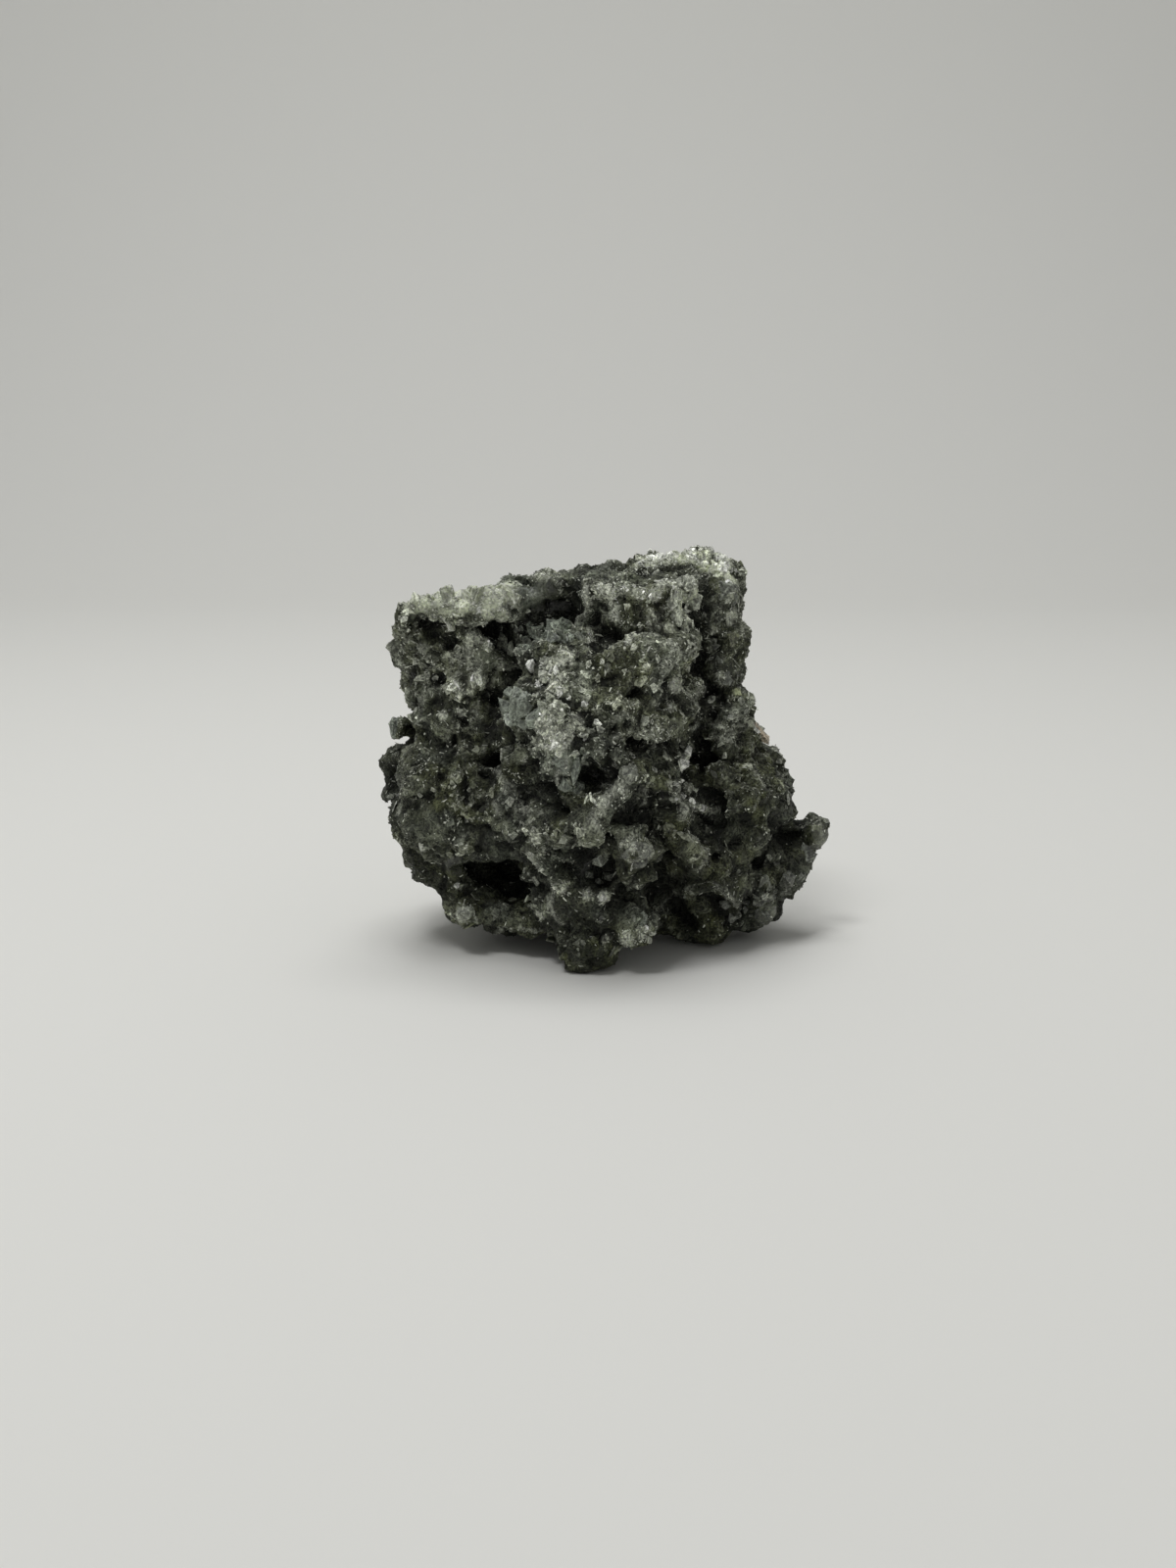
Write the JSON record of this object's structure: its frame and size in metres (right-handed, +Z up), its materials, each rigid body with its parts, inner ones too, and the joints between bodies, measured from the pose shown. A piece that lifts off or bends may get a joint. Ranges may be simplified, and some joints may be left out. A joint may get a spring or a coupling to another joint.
{
  "type": "raw mineral specimen",
  "caption": "Rough prehnite specimen: a knobbly grey-green lump with ledges, pits and tabular crystals, standing on small natural flats.",
  "frame": {"origin": "under the middle of the stone's bounding box, on the plane that it rests on", "axes": "+X to the right along the width, +Y away from the viewer of the best side, +Z up"},
  "size_m": [0.0738, 0.0566, 0.0647],
  "materials": {
    "prehnite": "rough, sugary grey-green stone with pale translucent crystals"
  },
  "bodies": {
    "root": {"prehnite_stone": "prehnite"}
  },
  "joints": []
}
